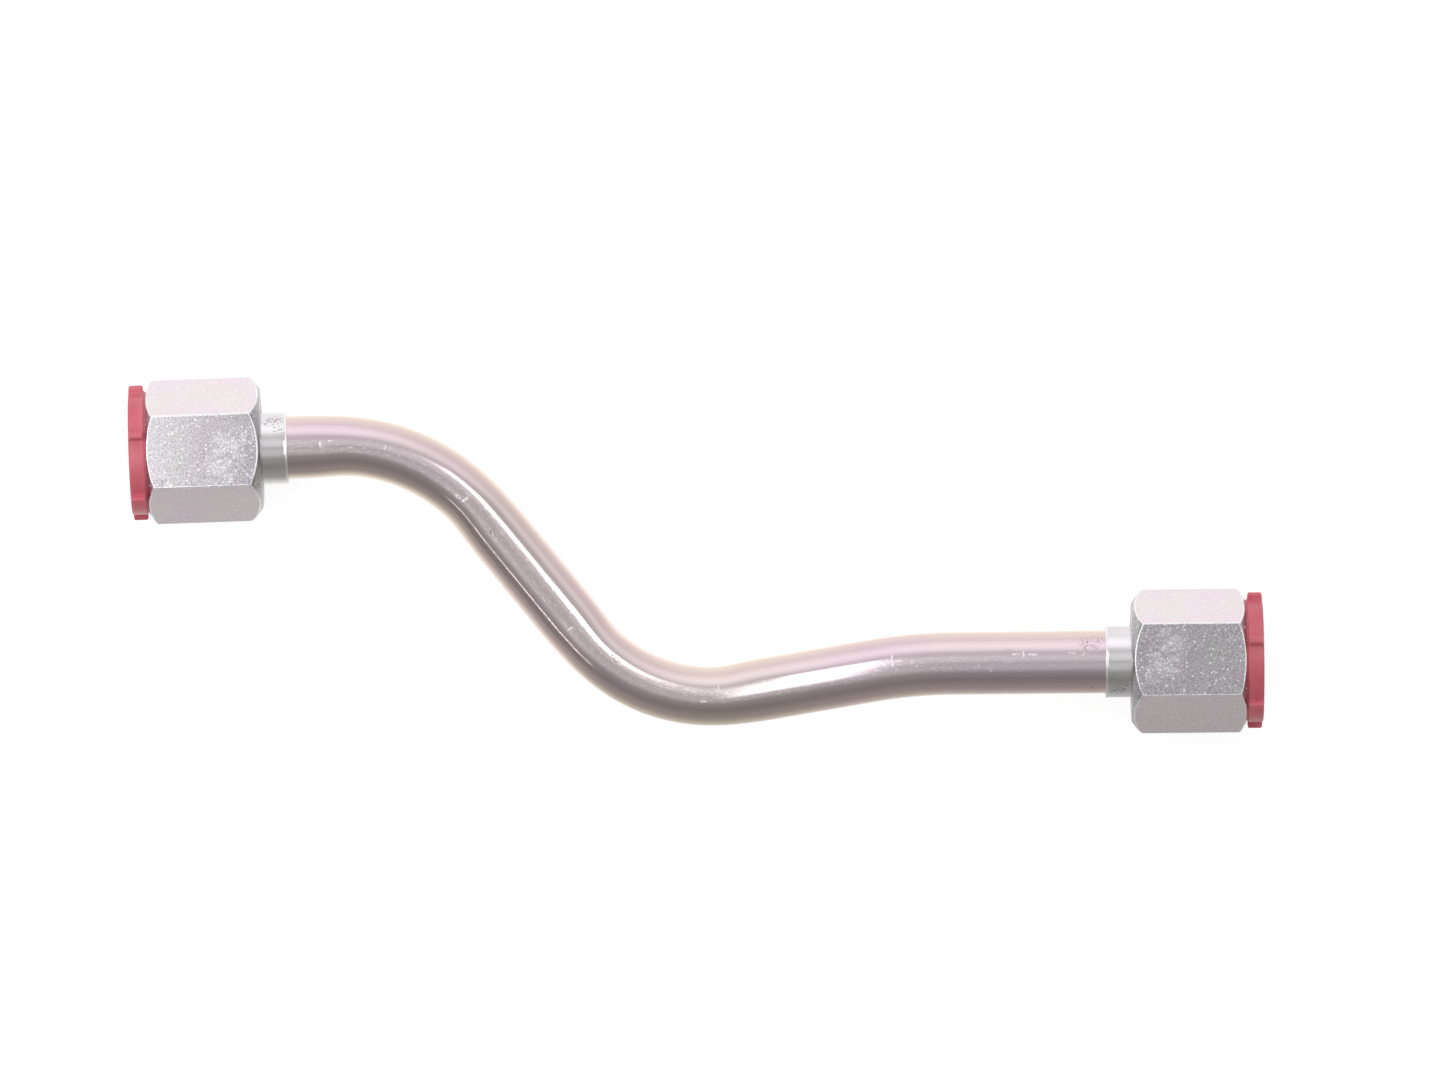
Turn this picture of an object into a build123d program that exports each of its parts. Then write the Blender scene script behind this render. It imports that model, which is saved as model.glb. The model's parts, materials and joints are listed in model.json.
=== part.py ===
from build123d import *
import math
import os

# Hydraulic pipe: a bent steel tube with a sleeve brazed on each end, a swivel nut held
# behind each sleeve's flange, and a hollow plastic plug screwed into each nut.
# Millimetres. The origin is the centre of the left sealing face, +X runs into the pipe
# along its first straight run, and +Z is up from the surface that the pipe lies on.

# Tube
TUBE_OD = 12.0
TUBE_WALL = 1.5

# Centre line, as on a bender's sheet: straight runs, turns and bend radii.
# A turn is in degrees, left turns positive as seen from above.
# The first and the last run are measured from the sealing faces.
FIRST_RUN = 24.55
FIRST_TURN_DEG = -52.6
FIRST_RADIUS = 35.6
MIDDLE_RUN = 30.4
SECOND_TURN_DEG = 60.4
SECOND_RADIUS = 31.4
LONG_RUN = 25.7
LAST_TURN_DEG = -9.2
LAST_RADIUS = 99.3
LAST_RUN = 45.03

# Sleeve
SLEEVE_LENGTH = 15.8
SLEEVE_WALL = 0.8
SLEEVE_LAND = 3.0
SLEEVE_EDGE = 0.25
BRAZE_CLEARANCE = 0.05
FLANGE_THICKNESS = 3.4
FLANGE_EDGE = 0.4
FLANGE_ROOT_ROUND = 0.25
FLANGE_CLEARANCE = 0.26

# Swivel nut
NUT_ACROSS_FLATS = 24.0
NUT_LENGTH = 21.8
NUT_SIDES = 6
MOUTH_CROWN_RADIUS = 25.7
MOUTH_FACE_STEP = 0.15
REAR_CROWN_RADIUS = 18.8
REAR_FACE_STEP = 0.6
THREAD_MAJOR = 20.64
THREAD_PITCH = 1.5875
THREAD_DEPTH_RATIO = 1.0825
THREAD_LENGTH = 9.6
MOUTH_COUNTERSINK = 0.3
RELIEF_DEPTH = 0.25
SEAL_DEPTH = 11.0
SHOULDER_CLEARANCE = 0.3
REAR_CLEARANCE = 0.3
REAR_BORE_EDGE = 0.4
LEFT_NUT_TURN_DEG = 0.5
RIGHT_NUT_TURN_DEG = 1.75

# Plug
PLUG_FLANGE_OD = 23.8
PLUG_FLANGE_THICKNESS = 3.0
PLUG_FLANGE_ROUND = 0.35
PLUG_BACK_ROUND = 0.2
PLUG_COLLAR_OD = 23.2
PLUG_COLLAR_THICKNESS = 0.35
PLUG_THREAD_CLEARANCE = 0.1
PLUG_WALL = 1.8
PLUG_FLOOR = 1.6
PLUG_TO_SEAL = 2.9
PLUG_TIP_CHAMFER = 0.8
PLUG_DRAFT = 0.3
RIB_COUNT = 6
RIB_HEIGHT = 1.4
RIB_WIDTH = 1.35
RIB_LENGTH = 2.8
RIB_SET_BACK = 0.1
RIB_ROUND = 0.45
RIB_ROOT = 0.6
LEFT_PLUG_TURN_DEG = -14.5
RIGHT_PLUG_TURN_DEG = 17.5

# Sizes that follow from the ones above
THREAD_MINOR = THREAD_MAJOR - THREAD_DEPTH_RATIO * THREAD_PITCH
TUBE_RADIUS = TUBE_OD / 2
TUBE_BORE_RADIUS = TUBE_RADIUS - TUBE_WALL
SOCKET_RADIUS = TUBE_RADIUS + BRAZE_CLEARANCE
NECK_RADIUS = SOCKET_RADIUS + SLEEVE_WALL
FLANGE_RADIUS = THREAD_MINOR / 2 - FLANGE_CLEARANCE
NUT_MOUTH = -SEAL_DEPTH
NUT_REAR = NUT_MOUTH + NUT_LENGTH
NUT_SHOULDER = FLANGE_THICKNESS + SHOULDER_CLEARANCE
PLUG_TIP = -PLUG_TO_SEAL
PLUG_FLANGE_BACK = NUT_MOUTH - PLUG_COLLAR_THICKNESS
PLUG_FACE = PLUG_FLANGE_BACK - PLUG_FLANGE_THICKNESS

# Overrun of a cutting profile past the face that it opens
OVERRUN = 1.0


def turned(points, rounds=()):
    """A solid of revolution about X, from (distance along the end's axis, radius) points.

    Each (point, radius) of rounds gives one corner of the profile a fillet."""
    profile = make_face(Polyline(*points, close=True))
    for point, radius in rounds:
        corner = profile.vertices().sort_by_distance(Vector(*point))[0]
        profile = fillet(corner, radius)
    return revolve(profile, Axis.X)


def tube_route():
    """The tube's centre line: four straight runs joined by three tangent arcs."""
    runs = [FIRST_RUN - SLEEVE_LAND, MIDDLE_RUN, LONG_RUN, LAST_RUN - SLEEVE_LAND]
    bends = [(FIRST_RADIUS, FIRST_TURN_DEG), (SECOND_RADIUS, SECOND_TURN_DEG), (LAST_RADIUS, LAST_TURN_DEG)]
    point = Vector(SLEEVE_LAND, 0, 0)
    heading = Vector(1, 0, 0)
    edges = []
    for index, run in enumerate(runs):
        straight = Line(point, point + heading * run)
        edges.append(straight)
        point = straight @ 1
        if index < len(bends):
            radius, turn = bends[index]
            arc = JernArc(start=point, tangent=heading, radius=radius, arc_size=turn)
            edges.append(arc)
            point = arc @ 1
            heading = arc % 1
    return Wire(edges)


def end_planes(route):
    """A frame at each sealing face: X into the pipe, Z up."""
    inward = -(route % 1)
    right_face = (route @ 1) - inward * SLEEVE_LAND
    return {
        "left": Plane(origin=(0, 0, 0), x_dir=(1, 0, 0), z_dir=(0, 0, 1)),
        "right": Plane(origin=right_face, x_dir=inward, z_dir=(0, 0, 1)),
    }


def make_tube(route):
    """The bent tube: a round wall swept along the centre line."""
    section = Plane(origin=route @ 0, z_dir=route % 0)
    outside = sweep(section * Circle(TUBE_RADIUS), path=route)
    inside = sweep(section * Circle(TUBE_BORE_RADIUS), path=route)
    return outside - inside


def make_sleeve():
    """A turned sleeve: flat sealing face, captive flange, neck and the socket for the tube."""
    outline = [
        (SLEEVE_EDGE, TUBE_BORE_RADIUS),
        (0, TUBE_BORE_RADIUS + SLEEVE_EDGE),
        (0, FLANGE_RADIUS - FLANGE_EDGE),
        (FLANGE_EDGE, FLANGE_RADIUS),
        (FLANGE_THICKNESS - FLANGE_EDGE, FLANGE_RADIUS),
        (FLANGE_THICKNESS, FLANGE_RADIUS - FLANGE_EDGE),
        (FLANGE_THICKNESS, NECK_RADIUS),
        (SLEEVE_LENGTH - SLEEVE_EDGE, NECK_RADIUS),
        (SLEEVE_LENGTH, NECK_RADIUS - SLEEVE_EDGE),
        (SLEEVE_LENGTH, SOCKET_RADIUS),
        (SLEEVE_LAND, SOCKET_RADIUS),
        (SLEEVE_LAND, TUBE_BORE_RADIUS),
    ]
    return turned(outline, [((FLANGE_THICKNESS, NECK_RADIUS), FLANGE_ROOT_ROUND)])


def crown(face_x, face_radius, ball_radius, inward):
    """The ball that rounds off one end of the hexagon, and cuts its face to a circle."""
    depth = math.sqrt(ball_radius ** 2 - face_radius ** 2)
    return Pos(face_x + inward * depth) * Rot(Y=90) * Sphere(ball_radius)


def make_nut():
    """A hexagon with crowned ends, threaded from its mouth and shouldered at its rear."""
    half_flats = NUT_ACROSS_FLATS / 2
    outline = RegularPolygon(half_flats, NUT_SIDES, major_radius=False)
    body = extrude(Plane.YZ.offset(NUT_MOUTH) * outline, NUT_LENGTH)
    body &= crown(NUT_MOUTH, half_flats - MOUTH_FACE_STEP, MOUTH_CROWN_RADIUS, 1)
    body &= crown(NUT_REAR, half_flats - REAR_FACE_STEP, REAR_CROWN_RADIUS, -1)

    minor = THREAD_MINOR / 2
    relief = THREAD_MAJOR / 2 + RELIEF_DEPTH
    countersink = THREAD_MAJOR / 2 + MOUTH_COUNTERSINK
    thread_end = NUT_MOUTH + THREAD_LENGTH
    rear_bore = NECK_RADIUS + REAR_CLEARANCE
    bore = turned([
        (NUT_MOUTH - OVERRUN, 0),
        (NUT_MOUTH - OVERRUN, countersink + OVERRUN),
        (NUT_MOUTH + countersink - minor, minor),
        (thread_end, minor),
        (thread_end + relief - minor, relief),
        (NUT_SHOULDER, relief),
        (NUT_SHOULDER, rear_bore),
        (NUT_REAR - REAR_BORE_EDGE, rear_bore),
        (NUT_REAR + OVERRUN, rear_bore + REAR_BORE_EDGE + OVERRUN),
        (NUT_REAR + OVERRUN, 0),
    ])
    return body - bore


def make_plug():
    """A moulded cup whose collar seats on the nut's mouth, with grip ribs round its flange."""
    rim = PLUG_FLANGE_OD / 2
    collar = PLUG_COLLAR_OD / 2
    shank = THREAD_MINOR / 2 - PLUG_THREAD_CLEARANCE
    recess = shank - PLUG_WALL
    floor = PLUG_TIP - PLUG_FLOOR
    outline = [
        (PLUG_FACE, recess),
        (PLUG_FACE, rim),
        (PLUG_FLANGE_BACK, rim),
        (PLUG_FLANGE_BACK, collar),
        (NUT_MOUTH, collar),
        (NUT_MOUTH, shank),
        (PLUG_TIP - PLUG_TIP_CHAMFER, shank),
        (PLUG_TIP, shank - PLUG_TIP_CHAMFER),
        (PLUG_TIP, 0),
        (floor, 0),
        (floor, recess - PLUG_DRAFT),
    ]
    rounds = [
        ((PLUG_FACE, recess), PLUG_FLANGE_ROUND),
        ((PLUG_FACE, rim), PLUG_FLANGE_ROUND),
        ((PLUG_FLANGE_BACK, rim), PLUG_BACK_ROUND),
    ]
    cup = turned(outline, rounds)

    height = RIB_ROOT + RIB_HEIGHT
    section = Pos(0, rim - RIB_ROOT + height / 2) * Rectangle(RIB_WIDTH, height)
    section = fillet(section.vertices().group_by(Axis.Y)[-1], RIB_ROUND)
    rib = extrude(Plane.YZ.offset(PLUG_FACE + RIB_SET_BACK) * section, RIB_LENGTH)
    for index in range(RIB_COUNT):
        cup += Rot(X=index * 360 / RIB_COUNT) * rib
    return cup


route = tube_route()
planes = end_planes(route)
nut_turns = {"left": LEFT_NUT_TURN_DEG, "right": RIGHT_NUT_TURN_DEG}
plug_turns = {"left": LEFT_PLUG_TURN_DEG, "right": RIGHT_PLUG_TURN_DEG}

parts = {"tube": make_tube(route)}
for side, plane in planes.items():
    parts[side + "_sleeve"] = plane.location * make_sleeve()
    parts[side + "_nut"] = plane.location * Rot(X=nut_turns[side]) * make_nut()
    parts[side + "_plug"] = plane.location * Rot(X=plug_turns[side]) * make_plug()

os.makedirs("parts", exist_ok=True)
for node, shape in parts.items():
    export_step(shape, "parts/" + node + ".step")
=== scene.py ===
"""Looks of the bent hydraulic pipe: plated steel tube, sleeves and swivel nuts, and two red screw-in plugs.

Each end has its own axes: x runs into the pipe from the sealing face, z is up and y completes them.
Shapes are worked out in millimetres on grids of rows and columns. Every piece also carries its unbent
coordinates in the attribute "bar", so that its patterns follow the tube round its bends."""
import json
import math

import bpy
import numpy as np
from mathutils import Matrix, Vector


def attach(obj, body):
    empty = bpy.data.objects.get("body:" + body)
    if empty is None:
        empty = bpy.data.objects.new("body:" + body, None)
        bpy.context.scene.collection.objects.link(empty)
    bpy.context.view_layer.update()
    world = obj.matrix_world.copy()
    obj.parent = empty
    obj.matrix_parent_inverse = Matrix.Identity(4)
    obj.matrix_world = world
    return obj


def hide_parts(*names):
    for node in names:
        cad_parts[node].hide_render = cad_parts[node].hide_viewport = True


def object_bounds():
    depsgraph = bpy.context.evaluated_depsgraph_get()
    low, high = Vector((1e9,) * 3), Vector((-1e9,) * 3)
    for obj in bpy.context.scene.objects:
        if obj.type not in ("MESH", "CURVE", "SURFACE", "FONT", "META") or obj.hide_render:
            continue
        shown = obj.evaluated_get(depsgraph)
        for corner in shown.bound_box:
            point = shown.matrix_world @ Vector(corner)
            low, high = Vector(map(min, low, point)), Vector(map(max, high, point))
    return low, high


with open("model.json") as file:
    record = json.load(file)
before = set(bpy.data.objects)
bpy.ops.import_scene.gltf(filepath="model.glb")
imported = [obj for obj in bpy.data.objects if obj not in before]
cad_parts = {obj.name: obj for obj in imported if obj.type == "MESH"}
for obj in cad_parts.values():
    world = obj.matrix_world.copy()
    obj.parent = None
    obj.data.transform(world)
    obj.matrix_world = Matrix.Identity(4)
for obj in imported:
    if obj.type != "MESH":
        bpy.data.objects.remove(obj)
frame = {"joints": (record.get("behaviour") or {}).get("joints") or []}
cad_box = [list(corner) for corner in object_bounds()]

MM = 0.001
UP = np.array([0.0, 0.0, 1.0])

# Tube, in millimetres, and its centre line: straight runs, turns in degrees (left positive) and radii
TUBE_RADIUS = 6.0
TUBE_WALL = 1.5
FIRST_RUN = 24.55
MIDDLE_RUN = 30.4
LONG_RUN = 25.7
LAST_RUN = 45.03
TURNS = (-52.6, 60.4, -9.2)
RADII = (35.6, 31.4, 99.3)
BEND_EASE = 1.6
BEND_FLATTENING = (0.060, 0.060, 0.0)
FLATTENING_EASE = 6.0

# Sleeve
SLEEVE_LENGTH = 15.8
SLEEVE_LAND = 3.0
SOCKET_RADIUS = 6.05
NECK_RADIUS = 6.85
FLANGE_RADIUS = 9.2
FLANGE_THICKNESS = 3.4
FLANGE_EDGE = 0.4
SLEEVE_EDGE = 0.25

# The burr round its square end: height, where it starts and is highest, drop to the end, unevenness
BURR_HEIGHT = 0.07
BURR_START = 0.55
BURR_CREST = 0.18
BURR_DROP = 0.05
BURR_UNEVENNESS = 0.03

# Swivel nut
HALF_FLATS = 12.0
NUT_SIDES = 6
NUT_MOUTH = -11.0
NUT_REAR = 10.8
NUT_SHOULDER = 3.7
MOUTH_CROWN_RADIUS = 25.7
MOUTH_FACE_STEP = 0.15
REAR_CROWN_RADIUS = 20.5
REAR_FACE_STEP = 0.6
THREAD_MAJOR = 10.32
THREAD_MINOR = 9.46
THREAD_PITCH = 1.5875
THREAD_LENGTH = 9.6
THREAD_RUN_OUT = 0.8
CREST_SHARE = 0.25
ROOT_SHARE = 0.125
MOUTH_COUNTERSINK = 0.3
LIP_STEP = 0.04
RELIEF_DEPTH = 0.25
REAR_CLEARANCE = 0.3
REAR_BORE_EDGE = 0.4
FACE_BEVEL = 0.10
CORNER_ROUND = 0.25
NUT_TURNS = {"left": 0.5, "right": 1.75}

# Wear of the nut. The rounds beside its crowns grow towards the corners, from WEAR_STARTS to WEAR_FULL past
# the radius of the flats. The crowns sit off the hexagon's middle by CROWN_OFFSET.
EDGE_ROUND = 0.18
EDGE_WEAR = 0.08
CORNER_WEAR = 0.35
WEAR_STARTS = 0.9
WEAR_FULL = 1.75
CROWN_OFFSET = {"left": 0.15, "right": 0.20}

# The bright lines on the nut, wear with a painted highlight where its edges catch the light: the distances
# from an arc and from a ridge at which they are full and nil, and RIDGE_SPREAD, the distance from a ridge for
# each millimetre of radius lost
ARC_INSET = 0.05
ARC_RUB_AND_HIGHLIGHT = (0.06, 0.23)
RIDGE_RUB_AND_HIGHLIGHT = (0.08, 0.28)
RIDGE_RUB_AND_HIGHLIGHT_SHARE = 0.7
RIDGE_SPREAD = 1.4
# The crowned ends are painted darker, a painted darker reflection; this is how far that fades in past their
# arcs
CROWN_DARK_REFLECTION_EASE = 0.15

# Plug
PLUG_RIM = 11.9
PLUG_COLLAR = 11.6
PLUG_SHANK = 9.36
PLUG_FLANGE_BACK = -11.35
PLUG_FACE = -14.35
PLUG_TIP = -2.9
PLUG_WALL = 1.8
PLUG_FLOOR = 1.6
PLUG_ROUND = 0.35
PLUG_BACK_ROUND = 0.2
PLUG_TIP_CHAMFER = 0.8
PLUG_DRAFT = 0.3
PLUG_THREAD_CREST = 10.05
PLUG_THREAD_ROOT = 9.2
PLUG_THREAD_START = 0.3
PLUG_THREAD_STOP = 0.9
PLUG_THREAD_EASE = 1.0
PLUG_FLOOR_ROUND = 0.4
POLE_RING = 0.05
RIBS = 6
RIB_HEIGHT = 1.4
RIB_WIDTH = 1.35
RIB_LENGTH = 2.8
RIB_SET_BACK = 0.1
RIB_ROUND = 0.45
RIB_FOOT = 0.12
PLUG_TURNS = {"left": -14.5, "right": 17.5}

# How finely the grids are cut
TUBE_STEP = 0.6
ROUTE_STEPS_PER_ROW = 8
TUBE_COLUMNS = 112
TURNED_COLUMNS = 144
FLAT_COLUMNS = 34
FLAT_CROWDING = 0.35
CORNER_COLUMNS = 8
RIM_COLUMNS = 14
RIB_MIDDLE_ROWS = 5
NUT_MIDDLE_ROWS = 20
THREAD_ROWS_PER_PITCH = 18
PLUG_THREAD_ROWS = 84
CURVE_STEPS = 5

# The longest round as a share of its edges, and the last row beside a round as a multiple of it
LONGEST_ROUND = 0.3
BESIDE_ROUND = 1.5

# Rows of the nut over a crown, as shares of its depth, and beside it, in millimetres from its arc
CROWN_ROWS = np.array([0, 0.25, 0.45, 0.6, 0.72, 0.82, 0.9, 0.96, 1.0])[:, None]
ROWS_BESIDE_CROWN = np.array([0.05, 0.11, 0.18, 0.28, 0.42, 0.62, 0.9, 1.3])[:, None]

# The sand on the nuts' flats, coarser than the real one
SAND_MM = 0.28

# The sky: angles from overhead towards +Y, in degrees, and the light there
SKY_BANDS = (
    (-90, 0.33), (-62, 0.25), (-42, 0.32), (-33, 0.36), (-28, 0.46), (-20, 0.60), (-8, 0.60), (0, 0.51),
    (8, 0.76), (20, 0.83), (34, 0.67), (42, 0.80), (52, 1.12), (66, 1.28), (80, 1.16), (96, 1.08),
    (114, 1.14), (140, 1.22), (160, 1.10), (180, 1.0),
)
SKY_FALL = ((0.0, 1.0), (0.15, 0.95), (0.45, 0.82), (0.80, 0.74))
PANEL_LIGHT = 1.2
WALL_LIGHT = 0.18
WARM_BLUE = 0.96

# Camera, in metres and degrees, and the table's half width
CAMERA_AT = (0.09805, -0.0206, 3.0)
CAMERA_TURN = -2
CAMERA_LENS = 391
CAMERA_SENSOR = 36
CAMERA_REACH = 20
TABLE_HALF = 4.0


def end_axes():
    """Origin and axes of each end, from the swivel joints: the hinge's axis runs into the pipe."""
    found = {}
    for joint in frame["joints"]:
        if joint["name"].endswith("_nut_spin"):
            into = np.array(joint["axis"], float)
            found[joint["name"].split("_")[0]] = (
                np.array(joint["pos_m"], float) / MM,
                np.stack([into, np.cross(UP, into), UP]),
            )
    return found


ends = end_axes()


def skin(name, points, bar, poles=None, **marks):
    """A closed mesh of quads between neighbouring rows and columns of points, in millimetres.

    Columns close on themselves. Rows close too, or end in the two poles: (point, bar) pairs, each joined to
    its row by triangles. Faces are turned outwards by the sign of the volume that they enclose, which is the
    sum over triangles of a . (b x c) / 6. Each of marks becomes an attribute of the points, 0 to 1."""
    rows, columns = points.shape[:2]
    number = np.arange(rows * columns).reshape(rows, columns)
    here = number if poles is None else number[:-1]
    ahead = np.roll(number, -1, axis=0) if poles is None else number[1:]
    quads = np.stack([here, np.roll(here, -1, 1), np.roll(ahead, -1, 1), ahead], -1).reshape(-1, 4)
    where = points.reshape(-1, 3)
    unbent = bar.reshape(-1, 3)
    fans = np.empty((0, 3), int)
    if poles is not None:
        first, last = len(where), len(where) + 1
        where = np.vstack([where, poles[0][0], poles[1][0]])
        unbent = np.vstack([unbent, poles[0][1], poles[1][1]])
        start, end = number[0], number[-1]
        fans = np.vstack([
            np.stack([np.full(columns, first), np.roll(start, -1), start], -1),
            np.stack([np.full(columns, last), end, np.roll(end, -1)], -1),
        ])
    a, b, c, d = (where[quads[:, k]] for k in range(4))
    volume = np.einsum("ij,ij->", a, np.cross(b, c)) + np.einsum("ij,ij->", a, np.cross(c, d))
    if volume < 0:
        quads, fans = quads[:, ::-1], fans[:, ::-1]
    mesh = bpy.data.meshes.new(name)
    mesh.from_pydata((where * MM).tolist(), [], quads.tolist() + fans.tolist())
    stored = mesh.attributes.new("bar", "FLOAT_VECTOR", "POINT")
    stored.data.foreach_set("vector", unbent.astype(np.float32).ravel())
    for mark, values in marks.items():
        stored = mesh.attributes.new(mark, "FLOAT", "POINT")
        stored.data.foreach_set("value", values.astype(np.float32).ravel())
    mesh.shade_smooth()
    mesh.update()
    piece = bpy.data.objects.new(name, mesh)
    bpy.context.scene.collection.objects.link(piece)
    return piece


def softened(corners, steps=CURVE_STEPS):
    """A closed profile through corners, each ((x, radius), round), worked out for all columns at once.

    A round corner P between its neighbours A and B becomes the quadratic curve (1-t)^2 S + 2t(1-t) P + t^2 E,
    where S and E lie `round` from P towards A and B, or a shorter way where an edge is short. One more point
    half a round further out on each side keeps the faces beside the curve flat."""
    columns = max(np.size(part) for corner, _ in corners for part in corner)
    spots = [np.stack(np.broadcast_arrays(*corner, np.zeros(columns))[:2], -1) for corner, _ in corners]
    t = np.linspace(0, 1, steps)[:, None, None]
    rows = []
    for index, (_, size) in enumerate(corners):
        corner = spots[index]
        if np.all(np.asarray(size) == 0):
            rows.append(corner[None])
            continue
        before = spots[index - 1] - corner
        after = spots[(index + 1) % len(spots)] - corner
        reach_before = np.linalg.norm(before, axis=-1, keepdims=True)
        reach_after = np.linalg.norm(after, axis=-1, keepdims=True)
        radius = np.broadcast_to(np.asarray(size, float), (columns,))[:, None]
        radius = np.minimum(radius, LONGEST_ROUND * np.minimum(reach_before, reach_after))
        to_start = before / reach_before * radius
        to_end = after / reach_after * radius
        start, end = corner + to_start, corner + to_end
        rows.append((corner + to_start * BESIDE_ROUND)[None])
        rows.append((1 - t) ** 2 * start + 2 * t * (1 - t) * corner + t ** 2 * end)
        rows.append((corner + to_end * BESIDE_ROUND)[None])
    return np.concatenate(rows)


def placed(side, x, across, up):
    """Points of one end's own axes in the pipe's frame: origin + x X + across Y + up Z."""
    origin, axes = ends[side]
    return origin + x[..., None] * axes[0] + across[..., None] * axes[1] + up[..., None] * axes[2]


def around(side, x, radius, angle):
    """Points at a radius and an angle from up, measured towards the end's own Y."""
    x, radius, angle = np.broadcast_arrays(x, radius, angle)
    across, up = radius * np.sin(angle), radius * np.cos(angle)
    return placed(side, x, across, up), np.stack([x, across, up], -1)


def ripple(x, angle, waves):
    """A smooth uneven value from -1 to 1: the mean of sines, each (cycles per mm, cycles round, phase)."""
    return np.mean([np.sin(2 * np.pi * per_mm * x + turns * angle + phase)
                    for per_mm, turns, phase in waves], axis=0)


def thread_wave(x, angle):
    """Height of a right-hand screw thread from 0 at its root to 1 at its crest: a triangle wave of x / pitch
    plus the turn, cut flat over the crest's and the root's share of the pitch.

    The turn has a plus because an angle from up towards Y runs backwards round X."""
    turn = np.mod(x / THREAD_PITCH + angle / (2 * np.pi), 1)
    slope = np.abs(2 * turn - 1)
    return np.clip((slope - ROOT_SHARE) / (1 - ROOT_SHARE - CREST_SHARE), 0, 1)


def fade(value, start, end):
    """0 before start, 1 after end, and 3t^2 - 2t^3 between them."""
    t = np.clip((value - start) / (end - start), 0, 1)
    return t * t * (3 - 2 * t)


def tube_route():
    """Stations along the tube: distance from the left sealing face, point, heading and flattening.

    The curvature is each bend's 1 / radius over its arc, eased in and out over BEND_EASE. The heading is its
    running sum, and the point the running sum of the heading."""
    arcs = [radius * math.radians(abs(turn)) for radius, turn in zip(RADII, TURNS)]
    lengths = [FIRST_RUN, arcs[0], MIDDLE_RUN, arcs[1], LONG_RUN, arcs[2], LAST_RUN]
    marks = np.concatenate([[0], np.cumsum(lengths)])
    fine = np.linspace(0, marks[-1], ROUTE_STEPS_PER_ROW * int(marks[-1] / TUBE_STEP) + 1)
    curvature = np.zeros_like(fine)
    flattening = np.zeros_like(fine)
    for index, (radius, turn) in enumerate(zip(RADII, TURNS)):
        start, end = marks[2 * index + 1], marks[2 * index + 2]
        share = (fade(fine, start - BEND_EASE, start + BEND_EASE)
                 * fade(-fine, -end - BEND_EASE, -end + BEND_EASE))
        curvature += math.copysign(1 / radius, turn) * share
        wide = (fade(fine, start - FLATTENING_EASE, start + FLATTENING_EASE)
                * fade(-fine, -end - FLATTENING_EASE, -end + FLATTENING_EASE))
        flattening += BEND_FLATTENING[index] * wide
    step = fine[1] - fine[0]
    middle = (curvature[1:] + curvature[:-1]) / 2 * step
    heading = np.concatenate([[0], np.cumsum(middle)])
    lean = (heading[1:] + heading[:-1]) / 2
    x = np.concatenate([[0], np.cumsum(np.cos(lean) * step)])
    y = np.concatenate([[0], np.cumsum(np.sin(lean) * step)])
    return fine, np.stack([x, y], -1), heading, flattening


def tube_length():
    """Length of the centre line from one sealing face to the other."""
    return tube_route()[0][-1]


def tube():
    """The drawn tube: its outer wall forwards along the route and its bore back again.

    The section is an oval with half axes r (1 - f) across the bend and r (1 + f / 2) upwards, where f is the
    bend's flattening. Both ends stop at the sleeve's land."""
    fine, line, heading, flattening = tube_route()
    stations = np.arange(SLEEVE_LAND, fine[-1] - SLEEVE_LAND, TUBE_STEP)
    stations = np.append(stations, fine[-1] - SLEEVE_LAND)
    bore = stations[::-2]
    bore = bore if bore[-1] == stations[0] else np.append(bore, stations[0])
    along = np.concatenate([stations, bore])
    wall = np.repeat([TUBE_RADIUS, TUBE_RADIUS - TUBE_WALL], [len(stations), len(bore)])
    px, py = (np.interp(along, fine, line[:, k]) for k in range(2))
    lean = np.interp(along, fine, heading)
    flat = np.interp(along, fine, flattening)
    angle = np.linspace(0, 2 * np.pi, TUBE_COLUMNS, endpoint=False) + np.pi
    across, up = np.sin(angle), np.cos(angle)
    radius = wall[:, None] + tube_dents(along[:, None], angle[None]) * (wall == TUBE_RADIUS)[:, None]
    side = radius * (1 - flat[:, None]) * across
    high = radius * (1 + flat[:, None] / 2) * up
    points = np.stack([
        px[:, None] - np.sin(lean)[:, None] * side,
        py[:, None] + np.cos(lean)[:, None] * side,
        high,
    ], -1)
    bar = np.stack(np.broadcast_arrays(along[:, None], wall[:, None] * across, wall[:, None] * up), -1)
    return skin("zinc_plated_tube", points, bar)


def tube_dents(along, angle):
    """Depth of the small knocks on the tube: a bell curve exp(-d^2) in distance over size for each.

    A knock is (along, degrees from up, size along, size round, depth)."""
    knocks = (
        (22.0, 0.0, 0.6, 1.0, 0.05),
        (tube_length() - 34.4, 13.0, 0.9, 1.4, 0.07),
        (120.5, -28.0, 0.7, 1.1, 0.04),
    )
    depth = 0
    for place, degrees, long, wide, deep in knocks:
        apart = (angle - math.radians(degrees) + np.pi) % (2 * np.pi) - np.pi
        depth = depth - deep * np.exp(-((along - place) / long) ** 2 - (apart * TUBE_RADIUS / wide) ** 2)
    return depth


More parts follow.
